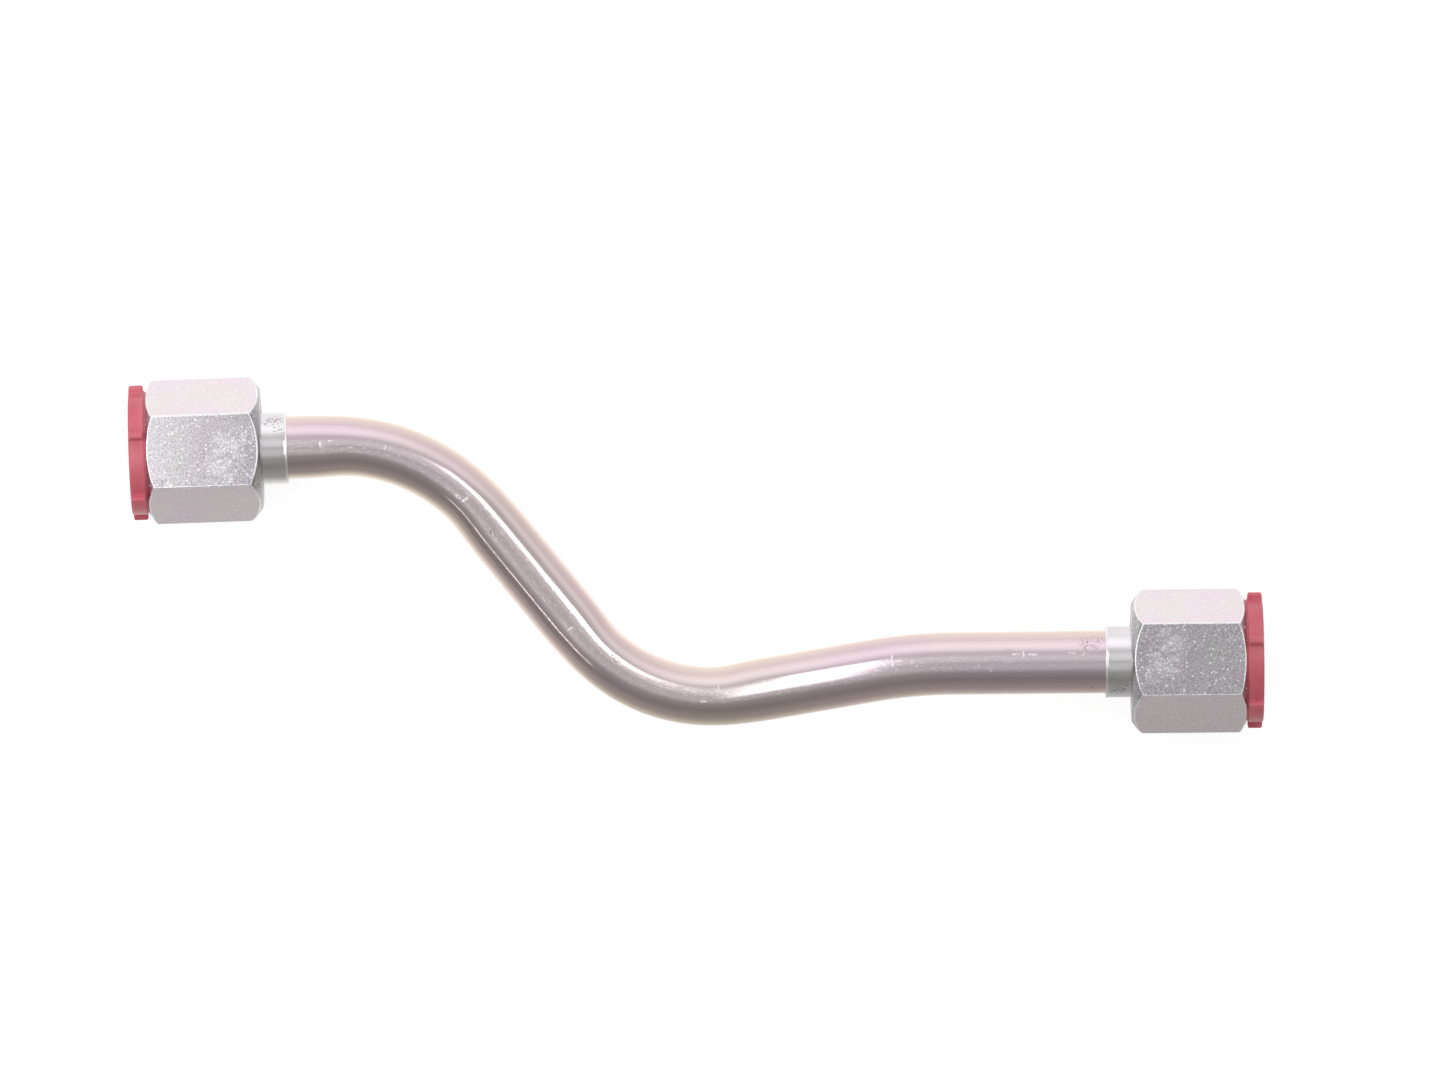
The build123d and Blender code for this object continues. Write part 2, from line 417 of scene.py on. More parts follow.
def sleeve(side):
    """The turned sleeve: a closed profile carried round the end's axis, with a burr at its square end."""
    bore = TUBE_RADIUS - TUBE_WALL
    profile = softened([
        ((0.0, bore), SLEEVE_EDGE),
        ((0.0, FLANGE_RADIUS), FLANGE_EDGE),
        ((FLANGE_THICKNESS, FLANGE_RADIUS), FLANGE_EDGE),
        ((FLANGE_THICKNESS, NECK_RADIUS), SLEEVE_EDGE),
        ((SLEEVE_LENGTH - BURR_START, NECK_RADIUS), 0.1),
        ((SLEEVE_LENGTH - BURR_CREST, NECK_RADIUS + BURR_HEIGHT), 0.08),
        ((SLEEVE_LENGTH, NECK_RADIUS + BURR_HEIGHT - BURR_DROP), 0.03),
        ((SLEEVE_LENGTH, SOCKET_RADIUS), 0.08),
        ((SLEEVE_LAND, SOCKET_RADIUS), 0.05),
        ((SLEEVE_LAND, bore), 0.05),
    ])[:, 0]
    angle = np.linspace(0, 2 * np.pi, TURNED_COLUMNS, endpoint=False) + np.pi
    x = profile[:, :1] + 0 * angle
    uneven = ripple(x, angle, ((0.0, 5, 0.4), (0.0, 11, 2.1), (0.0, 23, 4.0)))
    outside = profile[:, 1:] > (SOCKET_RADIUS + NECK_RADIUS) / 2
    lip = fade(x, SLEEVE_LENGTH - 0.5, SLEEVE_LENGTH - 0.1) * outside
    radius = profile[:, 1:] + BURR_UNEVENNESS * uneven * lip
    return skin(f"turned_{side}_sleeve", *around(side, x, radius, angle))


def hexagon():
    """Angles and radii round a hexagon whose corners are arcs, one flat facing up.

    Flat k has its points at (HALF_FLATS, s) for s along it, and its corner's arc has its centre at
    (HALF_FLATS - CORNER_ROUND) / cos(30 degrees) from the axis. Both are turned by k sixths of a turn."""
    half = (HALF_FLATS - CORNER_ROUND) * math.tan(math.pi / NUT_SIDES)
    even = np.linspace(-1, 1, FLAT_COLUMNS)
    spread = np.sin(even * np.pi / 2) * FLAT_CROWDING + even * (1 - FLAT_CROWDING)
    flat = HALF_FLATS + 1j * spread * half
    bend = np.linspace(0, 2 * np.pi / NUT_SIDES, CORNER_COLUMNS + 2)[1:-1]
    centre = (HALF_FLATS - CORNER_ROUND) / math.cos(math.pi / NUT_SIDES) * np.exp(1j * math.pi / NUT_SIDES)
    sector = np.concatenate([flat, centre + CORNER_ROUND * np.exp(1j * bend)])
    outline = (sector[None] * np.exp(2j * np.pi / NUT_SIDES * np.arange(NUT_SIDES))[:, None]).ravel()
    return np.angle(outline), np.abs(outline)


def soft_least(first, second, blend):
    """The lesser of two radii, with the corner between them rounded: a h + b (1 - h) - k h (1 - h), where h
    goes from 0 to 1 as b - a goes from -k to k."""
    share = np.clip(0.5 + (second - first) / (2 * blend), 0, 1)
    return first * share + second * (1 - share) - blend * share * (1 - share)


def nut(side):
    """The swivel nut. Each column of the grid is one closed profile: the outside forwards, and the rear bore,
    shoulder, relief and thread back again.

    The outside's radius is the least of the hexagon's and those of two balls, sqrt(ball^2 - (x - centre)^2),
    which round off the two ends. The corners between them are softer towards the hexagon's own corners, where
    a nut is knocked most. The balls sit a little off the hexagon's middle, as they do when bar is chucked by
    hand. The arcs where they meet the flats lie at `start` and `end`."""
    angle, reach = hexagon()
    mouth_face = HALF_FLATS - MOUTH_FACE_STEP
    rear_face = HALF_FLATS - REAR_FACE_STEP
    countersink = THREAD_MAJOR + MOUTH_COUNTERSINK
    relief = THREAD_MAJOR + RELIEF_DEPTH
    rear_bore = NECK_RADIUS + REAR_CLEARANCE
    thread_end = NUT_MOUTH + THREAD_LENGTH
    cornered = fade(reach, HALF_FLATS + WEAR_STARTS, HALF_FLATS + WEAR_FULL)
    ragged = ripple(0.0, angle, ((0, 17, 0.3), (0, 29, 1.7), (0, 47, 3.1), (0, 71, 5.0)))
    blend = EDGE_ROUND + EDGE_WEAR * ragged + CORNER_WEAR * cornered

    own = angle - math.radians(NUT_TURNS[side])
    off = reach - CROWN_OFFSET[side] * np.sin(own)
    mouth_depth = math.sqrt(MOUTH_CROWN_RADIUS ** 2 - mouth_face ** 2)
    rear_depth = math.sqrt(REAR_CROWN_RADIUS ** 2 - rear_face ** 2)
    start = NUT_MOUTH + mouth_depth - np.sqrt(MOUTH_CROWN_RADIUS ** 2 - off ** 2)
    end = NUT_REAR - rear_depth + np.sqrt(REAR_CROWN_RADIUS ** 2 - off ** 2)
    last = ROWS_BESIDE_CROWN[-1]
    middle = np.linspace(0, 1, NUT_MIDDLE_ROWS + 2)[1:-1, None]
    x = np.concatenate([
        NUT_MOUTH + FACE_BEVEL + (start - NUT_MOUTH - FACE_BEVEL) * CROWN_ROWS,
        start + ROWS_BESIDE_CROWN,
        start + last + (end - start - 2 * last) * middle,
        (end - ROWS_BESIDE_CROWN)[::-1],
        (NUT_REAR - FACE_BEVEL + (end - NUT_REAR + FACE_BEVEL) * CROWN_ROWS)[::-1],
    ])
    shift = off - reach
    mouth_ball = np.sqrt(MOUTH_CROWN_RADIUS ** 2 - (x - NUT_MOUTH - mouth_depth) ** 2) - shift
    rear_ball = np.sqrt(REAR_CROWN_RADIUS ** 2 - (x - NUT_REAR + rear_depth) ** 2) - shift
    radius = soft_least(soft_least(reach + 0 * x, mouth_ball, blend), rear_ball, blend)
    radius = radius + nut_knocks(side, x, angle)

    plain = 0 * angle
    inside = softened([
        ((NUT_REAR, plain + rear_bore + REAR_BORE_EDGE), 0),
        ((NUT_REAR - REAR_BORE_EDGE, rear_bore), 0.08),
        ((NUT_SHOULDER, rear_bore), 0.1),
        ((NUT_SHOULDER, relief), 0.1),
        ((thread_end + relief - THREAD_MINOR, relief), 0.1),
        ((thread_end, THREAD_MINOR), 0),
    ])
    rows = int(THREAD_ROWS_PER_PITCH * THREAD_LENGTH / THREAD_PITCH)
    cut = np.linspace(thread_end - 0.05, NUT_MOUTH + LIP_STEP, rows)[:, None] + plain
    depth = (THREAD_MAJOR - THREAD_MINOR) * (1 - thread_wave(cut, angle))
    bevel = countersink - (cut - NUT_MOUTH)
    groove = np.maximum(THREAD_MINOR + depth * fade(-cut, -thread_end, -thread_end + THREAD_RUN_OUT), bevel)
    profile = np.concatenate([
        np.stack([plain + NUT_MOUTH, radius[0] - FACE_BEVEL], -1)[None],
        np.stack([x, radius], -1),
        np.stack([plain + NUT_REAR, radius[-1] - FACE_BEVEL], -1)[None],
        inside,
        np.stack([cut, groove], -1),
        np.stack([plain + NUT_MOUTH, plain + countersink + LIP_STEP], -1)[None],
    ])
    # The bright lines along the edges: wear with a painted highlight
    worn, turned = np.zeros(profile.shape[:2]), np.ones(profile.shape[:2])
    outside = slice(1, 1 + len(x))
    worn[outside], turned[outside] = nut_highlight_and_crown(x, start, end, reach)
    points, bar = around(side, profile[..., 0], profile[..., 1], own)
    return skin(f"{side}_hexagon_nut", points, bar, worn=worn, turned=turned)


def nut_highlight_and_crown(x, start, end, reach):
    """How far the nut's outside carries its bright lines, and how far it is crowned, each 0 to 1.

    The bright lines are wear with a painted highlight where the edges catch the light. They lie along the two
    arcs, and more faintly along the ridges between the flats, but not across the crowned ends. A ridge's
    distance is taken from how far the radius falls short of the sharp corner's."""
    to_arc = np.minimum(np.abs(x - start - ARC_INSET), np.abs(x - end + ARC_INSET))
    to_ridge = (HALF_FLATS / math.cos(math.pi / NUT_SIDES) - reach) * RIDGE_SPREAD
    crowned = 1 - (fade(x, start - CROWN_DARK_REFLECTION_EASE, start + ARC_INSET)
                   * fade(-x, -end - CROWN_DARK_REFLECTION_EASE, ARC_INSET - end))
    ridges = RIDGE_RUB_AND_HIGHLIGHT_SHARE * (1 - fade(to_ridge, *RIDGE_RUB_AND_HIGHLIGHT))
    return np.maximum(1 - fade(to_arc, *ARC_RUB_AND_HIGHLIGHT), ridges * (1 - crowned)), crowned


def nut_knocks(side, x, angle):
    """Small knocks on one nut: a bell curve in distance for each (x, degrees from up, size, depth)."""
    knocks = {
        "left": ((9.6, 33.0, 0.5, 0.10), (8.9, 12.0, 0.5, 0.06), (-7.6, -29.0, 0.7, 0.07),
                 (2.0, 31.0, 0.6, 0.05)),
        "right": ((9.9, -40.0, 0.45, 0.22), (9.7, -52.0, 0.4, 0.20), (10.1, -34.0, 0.35, 0.16),
                  (9.2, -46.0, 0.35, 0.12), (9.3, 31.0, 0.5, 0.08), (-9.2, 24.0, 0.6, 0.07)),
    }
    depth = np.zeros(np.broadcast(x, angle).shape)
    for place, degrees, size, deep in knocks[side]:
        apart = (angle - math.radians(degrees) + np.pi) % (2 * np.pi) - np.pi
        depth -= deep * np.exp(-(((x - place) / size) ** 2 + (apart * HALF_FLATS / size) ** 2))
    return depth


def ribbed_outline():
    """Angle and radius of each column round the flange with its ribs.

    A rib is a rectangle RIB_WIDTH wide whose top corners are arcs of RIB_ROUND, standing on the rim's circle
    with a small hollow at its foot. The rest of each sixth of the rim is the plain circle."""
    half = RIB_WIDTH / 2
    tip = PLUG_RIM + RIB_HEIGHT
    edge = math.sqrt(PLUG_RIM ** 2 - (half + RIB_FOOT) ** 2)
    bend = np.linspace(0, np.pi / 2, CURVE_STEPS + 1)
    across = np.concatenate([[half + RIB_FOOT, half + 0.3 * RIB_FOOT, half, half, half],
                             half - RIB_ROUND + RIB_ROUND * np.cos(bend)])
    height = np.concatenate([[edge, PLUG_RIM + 0.02, PLUG_RIM + RIB_FOOT, PLUG_RIM + 0.35, PLUG_RIM + 0.65],
                             tip - RIB_ROUND + RIB_ROUND * np.sin(bend)])
    rib = np.concatenate([height - 1j * across, (height + 1j * across)[::-1]])
    start = math.atan2(half + RIB_FOOT, edge)
    rim = PLUG_RIM * np.exp(1j * np.linspace(start, 2 * np.pi / RIBS - start, RIM_COLUMNS + 2)[1:-1])
    sector = np.concatenate([rib, rim])
    angle = np.angle(sector) + 2 * np.pi / RIBS * np.arange(RIBS)[:, None]
    return angle.ravel(), np.broadcast_to(np.abs(sector), angle.shape).ravel()


def flange_reach(x):
    """Radius of the flange at a distance along the plug: its rim, less the quarter circles of its edges."""
    front = PLUG_ROUND - (x - PLUG_FACE)
    back = PLUG_BACK_ROUND - (PLUG_FLANGE_BACK - x)
    front = PLUG_ROUND - np.sqrt(PLUG_ROUND ** 2 - np.clip(front, 0, PLUG_ROUND) ** 2)
    back = PLUG_BACK_ROUND - np.sqrt(PLUG_BACK_ROUND ** 2 - np.clip(back, 0, PLUG_BACK_ROUND) ** 2)
    return PLUG_RIM - front - back


def plug(side):
    """The moulded plug: recess, ribbed flange, collar and threaded shank, closed by a pole at each end.

    A row of the flange has the radius of the rim plus its share of the ribs' height. The share is 0 up to the
    rib's end and rises to 1 over its rounded edge, which `rise` and `inset` draw. The screw thread lies in
    the nut's own groove."""
    angle, reach = ribbed_outline()
    recess = PLUG_SHANK - PLUG_WALL
    floor = PLUG_TIP - PLUG_FLOOR
    cup = softened([
        ((floor, POLE_RING), 0),
        ((floor, recess - PLUG_DRAFT), PLUG_FLOOR_ROUND),
        ((PLUG_FACE, recess), PLUG_ROUND),
        ((PLUG_FACE, PLUG_RIM - PLUG_ROUND - 0.1), 0),
    ])[:, 0]
    neck = softened([
        ((PLUG_FLANGE_BACK, PLUG_RIM - PLUG_BACK_ROUND - 0.02), 0),
        ((PLUG_FLANGE_BACK, PLUG_COLLAR), 0.03),
        ((NUT_MOUTH, PLUG_COLLAR), 0.06),
        ((NUT_MOUTH, PLUG_SHANK), 0.1),
        ((NUT_MOUTH + PLUG_THREAD_START, PLUG_THREAD_ROOT), 0),
    ])[:, 0]
    rib_start = PLUG_FACE + RIB_SET_BACK
    rib_end = rib_start + RIB_LENGTH
    rise = np.array([0.0, 0.62, 0.84, 0.95, 1.0])
    inset = np.array([0.0, 0.0, 0.05, 0.14, 0.26])
    plain_front = PLUG_FACE + RIB_SET_BACK * np.array([0.0, 0.1, 0.35, 0.7])
    plain_back = PLUG_FLANGE_BACK - (PLUG_FLANGE_BACK - rib_end) * np.array([0.75, 0.4, 0.15, 0.0])
    middle = np.linspace(rib_start + 0.4, rib_end - 0.4, RIB_MIDDLE_ROWS)
    rim_x = np.concatenate([plain_front, rib_start + inset, middle, (rib_end - inset)[::-1], plain_back])
    none = np.zeros(len(plain_front))
    share = np.concatenate([none, rise, np.ones(RIB_MIDDLE_ROWS), rise[::-1], none])
    rim = flange_reach(rim_x)[:, None] + share[:, None] * (reach - PLUG_RIM)

    world_angle = angle - math.radians(PLUG_TURNS[side])
    cut = np.linspace(NUT_MOUTH + 0.35, PLUG_TIP - PLUG_TIP_CHAMFER, PLUG_THREAD_ROWS)[:, None] + 0 * angle
    groove = 1 - thread_wave(cut, world_angle + math.radians(NUT_TURNS[side]))
    start, stop = NUT_MOUTH + PLUG_THREAD_START, PLUG_TIP - PLUG_THREAD_STOP
    grown = fade(cut, start, start + PLUG_THREAD_EASE) * fade(-cut, -stop, PLUG_THREAD_EASE - stop)
    screw = PLUG_THREAD_ROOT + (PLUG_THREAD_CREST - PLUG_THREAD_ROOT) * groove * grown
    tip = np.array([
        [PLUG_TIP - 0.4, PLUG_THREAD_ROOT - 0.4],
        [PLUG_TIP - 0.1, PLUG_THREAD_ROOT - 0.72],
        [PLUG_TIP, PLUG_THREAD_ROOT - PLUG_TIP_CHAMFER],
        [PLUG_TIP, PLUG_THREAD_ROOT - 1.3],
        [PLUG_TIP, POLE_RING],
    ])
    along = np.concatenate([cup[:, 0], rim_x, neck[:, 0], cut[:, 0], tip[:, 0]])[:, None]
    spread = [np.repeat(part[:, 1:], len(angle), 1) for part in (cup, neck, tip)]
    radius = np.concatenate([spread[0], rim, spread[1], screw, spread[2]])
    points, bar = around(side, along, radius, world_angle)
    poles = [[grid[0] for grid in around(side, np.array([x]), 0.0, 0.0)] for x in (floor, PLUG_TIP)]
    return skin(f"{side}_moulded_plug", points, bar, poles)


def linear(code):
    """An sRGB hex colour as linear values: ((c + 0.055) / 1.055)^2.4, or c / 12.92 where c is dark."""
    c = np.array([int(code[k:k + 2], 16) for k in (1, 3, 5)]) / 255
    return (*np.where(c > 0.04045, ((c + 0.055) / 1.055) ** 2.4, c / 12.92), 1.0)


def grey(level):
    """A neutral colour, given as its linear value."""
    return (level, level, level, 1.0)


def add(tree, kind, inputs=None, **settings):
    """One node: settings are its own properties, inputs its sockets' values or the sockets that feed them."""
    node = tree.nodes.new("ShaderNode" + kind)
    for key, value in settings.items():
        setattr(node, key, value)
    for key, value in (inputs or {}).items():
        if isinstance(value, bpy.types.NodeSocket):
            tree.links.new(value, node.inputs[key])
        else:
            node.inputs[key].default_value = value
    return node


def ramp(tree, value, stops):
    """A colour ramp through stops, each (position, colour)."""
    node = add(tree, "ValToRGB", {0: value})
    elements = node.color_ramp.elements
    while len(elements) < len(stops):
        elements.new(0.5)
    for element, (position, colour) in zip(elements, stops):
        element.position = position
        element.color = colour
    return node.outputs[0]


def shades(tree, value, *stops):
    """A colour ramp through stops, each (position, hex colour)."""
    return ramp(tree, value, [(position, linear(code)) for position, code in stops])


def blank_material(name):
    """A material with no nodes but its output, and the output itself."""
    material = bpy.data.materials.new(name)
    material.use_nodes = True
    material.node_tree.nodes.clear()
    return material, material.node_tree, add(material.node_tree, "OutputMaterial")


def smooth_mask(tree, value, low, high):
    """0 below low, 1 above high, smooth between."""
    return add(tree, "MapRange", {0: value, 1: low, 2: high}, interpolation_type="SMOOTHSTEP").outputs[0]


def ranged(tree, value, low, high, least, most):
    """least below low, most above high, straight between."""
    return add(tree, "MapRange", {0: value, 1: low, 2: high, 3: least, 4: most}).outputs[0]


def metal(tree, output, tint, rough, normal):
    """Bare metal of a colour, roughness and normal, joined to a material's output."""
    inputs = {"Base Color": tint, "Metallic": 1.0, "Roughness": rough, "Normal": normal}
    shader = add(tree, "BsdfPrincipled", inputs)
    tree.links.new(shader.outputs[0], output.inputs[0])
    return shader


def near(tree, bar, spot, size):
    """1 at a spot of the unbent piece, falling to 0 at size millimetres from it, and flat over the inner 0.45
    of that. Three sizes give an oval."""
    sizes = size if isinstance(size, tuple) else (size, size, size)
    apart = add(tree, "VectorMath", {0: bar, 1: spot}, operation="SUBTRACT").outputs[0]
    apart = add(tree, "VectorMath", {0: apart, 1: sizes}, operation="DIVIDE").outputs[0]
    apart = add(tree, "VectorMath", {0: apart}, operation="LENGTH").outputs["Value"]
    return smooth_mask(tree, apart, 1.0, 0.45)


def nicks(tree, bar, marks):
    """1 on small ragged nicks of the tube, painted bright as glints: each (along, degrees from up, length,
    width).
    """
    total = 0.0
    for along, degrees, length, width in marks:
        spot = spot_at(along, degrees, TUBE_RADIUS)
        total = combined(tree, "MAXIMUM", near(tree, bar, spot, (length, width, width)), total)
    ragged = grain(tree, bar, 0.22, (1.0, 0.6, 0.6), 1.0)
    return combined(tree, "MULTIPLY", total, smooth_mask(tree, ragged, 0.42, 0.58))


def clustered(tree, bar, spots, size):
    """1 at any of the spots, falling to 0 at size millimetres from it."""
    total = 0.0
    for spot in spots:
        total = combined(tree, "MAXIMUM", near(tree, bar, spot, size), total)
    return total


def pits(tree, bar, spots, size, pit_mm):
    """A mask of small round pits, pit_mm apart, in clusters of the given size round the spots."""
    cells = add(tree, "TexVoronoi", {"Vector": bar, "Scale": 1 / pit_mm, "Randomness": 1.0})
    dots = smooth_mask(tree, cells.outputs["Distance"], 0.42, 0.18)
    return combined(tree, "MULTIPLY", dots, clustered(tree, bar, spots, size))


def tinted(tree, first, second):
    """One colour seen through another."""
    both = add(tree, "Mix", {6: first, 7: second, 0: 1.0}, data_type="RGBA", blend_type="MULTIPLY")
    return both.outputs[2]


def combined(tree, operation, first, second, third=0.0):
    """One arithmetic step on two or three values."""
    return add(tree, "Math", {0: first, 1: second, 2: third}, operation=operation).outputs[0]


def mixed(tree, share, first, second):
    """first where share is 0 and second where it is 1, as colours."""
    return add(tree, "Mix", {0: share, 6: first, 7: second}, data_type="RGBA").outputs[2]


def bumped(tree, heights):
    """A chain of bumps, each (height socket, depth in millimetres), and the normal that they give."""
    normal = None
    for height, depth in heights:
        inputs = {"Height": height, "Distance": depth * MM, "Strength": 1.0}
        if normal is not None:
            inputs["Normal"] = normal
        normal = add(tree, "Bump", inputs).outputs[0]
    return normal


def grain(tree, bar, size_mm, stretch=(1.0, 1.0, 1.0), detail=2.0):
    """Noise with features size_mm across, drawn out along the axes where stretch is small."""
    vector = add(tree, "Mapping", {"Vector": bar, "Scale": stretch}).outputs[0]
    return add(tree, "TexNoise", {"Vector": vector, "Scale": 1 / size_mm, "Detail": detail}).outputs["Fac"]


def bar_coordinates(tree):
    """The piece's unbent coordinates, in millimetres."""
    return add(tree, "Attribute", attribute_name="bar").outputs["Vector"]


def spot_at(along, degrees, radius):
    """A place on an unbent round piece: along it, and at an angle from up."""
    angle = math.radians(degrees)
    return (along, radius * math.sin(angle), radius * math.cos(angle))


def turn_of(tree, bar):
    """The angle from up, towards Y, of a point on an unbent round piece, in radians."""
    parts = add(tree, "SeparateXYZ", {0: bar}).outputs
    return combined(tree, "ARCTAN2", parts[1], parts[2])


def strip_mask(tree, turn, degrees, half_width, soft):
    """1 within half_width degrees of an angle round the piece, falling to 0 over soft more."""
    apart = combined(tree, "ABSOLUTE", combined(tree, "SUBTRACT", turn, math.radians(degrees)), 0.0)
    return smooth_mask(tree, apart, math.radians(half_width + soft), math.radians(half_width))


def zinc_on_drawn_tube():
    """Bright zinc plate on cold-drawn tube with a clear passivate.

    The eye sees a satin metal with a pinkish cast that pales to cream towards its rims, a painted sheen, fine
    lines along the draw, faint cloudy tints, a frosted and finely speckled strip along its top where it has
    chafed against others, and a few scuff marks. The specks and the scuff marks are painted near white: wear
    with painted glints."""
    material, tree, output = blank_material("zinc_on_drawn_tube")
    bar = bar_coordinates(tree)
    length = tube_length()
    clouds = grain(tree, bar, 11.0, (0.3, 1, 1), 1.0)
    fine = grain(tree, bar, 0.32, detail=2.0)
    lines = grain(tree, bar, 0.5, (0.04, 1, 1), 2.0)
    dust = grain(tree, bar, 0.30, (0.30, 1, 1), 1.0)

    turn = turn_of(tree, bar)
    top = strip_mask(tree, turn, -1, 11, 9)
    frost = combined(tree, "MULTIPLY", top, combined(tree, "MULTIPLY_ADD", fine, 0.7, 0.3))
    specks = combined(tree, "MULTIPLY", top, smooth_mask(tree, dust, 0.56, 0.74))
    by_the_sleeve = [spot_at(length - 17.6, 40, TUBE_RADIUS), spot_at(length - 19.2, 36, TUBE_RADIUS)]
    pitted = pits(tree, bar, by_the_sleeve, 2.2, 0.42)
    elsewhere = [spot_at(*place, TUBE_RADIUS) for place in ((length - 18.2, -62), (95.0, 12), (61.0, -9))]
    bitten = pits(tree, bar, elsewhere, 1.6, 0.5)
    # Scuff marks, painted bright as glints
    scuff_glints = nicks(tree, bar, (
        (length - 20.1, 15, 0.25, 0.5), (length - 22.4, 17, 0.9, 0.25), (length - 29.8, 15, 1.4, 0.22),
        (length - 31.6, 17, 0.25, 0.8), (length - 33.0, 16, 1.2, 0.25), (length - 37.9, -14, 0.25, 0.5),
        (length - 40.2, -6, 0.25, 0.6), (length - 56.6, 14, 0.30, 1.6), (length - 58.2, 9, 0.25, 0.8),
        (length - 55.4, 11, 0.9, 0.25), (length - 90.4, 18, 0.25, 0.9), (length - 93.4, -11, 1.0, 0.4),
        (53.0, -4, 0.40, 1.2), (51.6, -12, 1.0, 0.5), (85.0, -9, 0.25, 1.0), (62.4, 4, 0.8, 0.2),
        (24.2, 10, 0.6, 0.25), (22.2, 4, 0.25, 0.6), (34.5, 9, 0.22, 0.7), (28.0, -3, 0.8, 0.2)))

    # Passivate tint by viewing angle: pinkish straight on, paling to cream at grazing angles as a painted
    # sheen
    lying = add(tree, "LayerWeight", {"Blend": 0.5}).outputs["Facing"]
    film_tint_and_sheen = shades(tree, lying, (0.0, "#E6D7DB"), (0.14, "#E8D6DC"), (0.32, "#E9D2D4"),
                  (0.46, "#EBD8D4"), (0.66, "#F2E6E0"), (0.86, "#F7F1EC"))
    stain = shades(tree, clouds, (0.38, "#F4F0F6"), (0.52, "#F6F5F5"), (0.66, "#F3F5EF"))
    tint = tinted(tree, film_tint_and_sheen, stain)
    tint = mixed(tree, combined(tree, "MULTIPLY", frost, 0.35), tint, linear("#DDD5D8"))
    # The specks and the scuff marks, painted near white: wear with painted glints
    rubs_and_glints = combined(tree, "MAXIMUM", combined(tree, "MULTIPLY", specks, 0.4), scuff_glints)
    tint = mixed(tree, rubs_and_glints, tint, linear("#FAF7F6"))
    tint = mixed(tree, combined(tree, "MAXIMUM", pitted, bitten), tint, linear("#8C7475"))
    rough = ranged(tree, lines, 0.3, 0.7, 0.12, 0.17)
    rough = combined(tree, "MULTIPLY_ADD", frost, 0.06, rough)
    rough = combined(tree, "MULTIPLY_ADD", rubs_and_glints, 0.30, rough)
    normal = bumped(tree, [(fine, 0.004), (lines, 0.006), (combined(tree, "MULTIPLY", fine, top), 0.004),
                           (scuff_glints, 0.03), (pitted, -0.05), (bitten, -0.03)])
    metal(tree, output, tint, rough, normal).inputs["Specular Tint"].default_value = linear("#FFF6EC")
    return material


def zinc_on_turned_sleeve():
    """Bright zinc plate on a turned sleeve.

    The eye sees a neutral mirror-like metal with the lathe's fine rings, a few pits near the braze, and the
    lip of the burr at its square end, painted bright as a highlight along it."""
    material, tree, output = blank_material("zinc_on_turned_sleeve")
    bar = bar_coordinates(tree)
    rings = grain(tree, bar, 0.26, (1, 0.03, 0.03), 2.0)
    fine = grain(tree, bar, 0.30, detail=2.0)
    clouds = grain(tree, bar, 5.0, detail=1.0)
    along = add(tree, "SeparateXYZ", {0: bar}).outputs[0]
    lip = smooth_mask(tree, along, SLEEVE_LENGTH - BURR_START, SLEEVE_LENGTH - 0.25)
    by_the_braze = [spot_at(*place, NECK_RADIUS) for place in ((13.9, 52), (12.6, 47), (14.2, 30))]
    pitted = pits(tree, bar, by_the_braze, 1.5, 0.45)
    tint = shades(tree, clouds, (0.38, "#E8E4E7"), (0.62, "#E2DEE0"))
    # Painted highlight along the burr's lip at the square end
    tint = mixed(tree, lip, tint, linear("#FBFAFA"))
    tint = mixed(tree, pitted, tint, linear("#77696B"))
    rough = ranged(tree, rings, 0.3, 0.7, 0.08, 0.13)
    rough = combined(tree, "MULTIPLY_ADD", lip, 0.22, rough)
    normal = bumped(tree, [(rings, 0.004), (fine, 0.0025), (combined(tree, "MULTIPLY", fine, lip), 0.03),
                           (pitted, -0.06)])
    metal(tree, output, tint, rough, normal)
    return material


